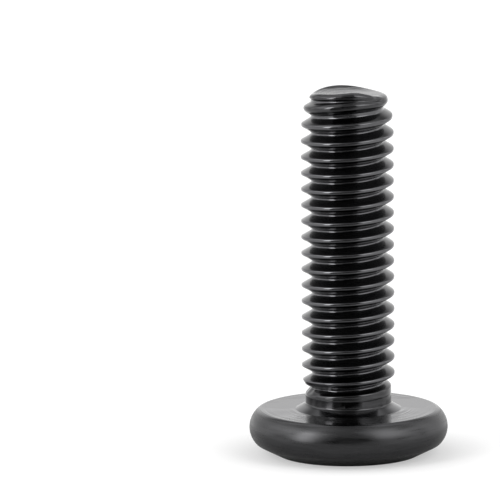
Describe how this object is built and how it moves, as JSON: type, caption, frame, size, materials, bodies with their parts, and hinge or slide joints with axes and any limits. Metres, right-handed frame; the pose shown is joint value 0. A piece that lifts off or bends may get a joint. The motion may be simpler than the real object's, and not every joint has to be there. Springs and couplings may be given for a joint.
{
  "type": "flat head socket cap screw",
  "caption": "Black steel machine screw with a broad flat-faced disc head, hexagonal socket, plain neck and rolled right-hand coarse thread.",
  "frame": {"origin": "centre of the head's flat face, which the screw stands on", "axes": "+Z along the screw's axis, from the flat face towards the threaded tip; +X and -X point at two corners of the hexagonal socket"},
  "size_m": [0.0172, 0.0172, 0.0325],
  "materials": {
    "black_oxide_steel": "semi-gloss black oxide on cold-headed steel, lightly oiled"
  },
  "bodies": {
    "root": {"screw": "black_oxide_steel"}
  },
  "joints": []
}
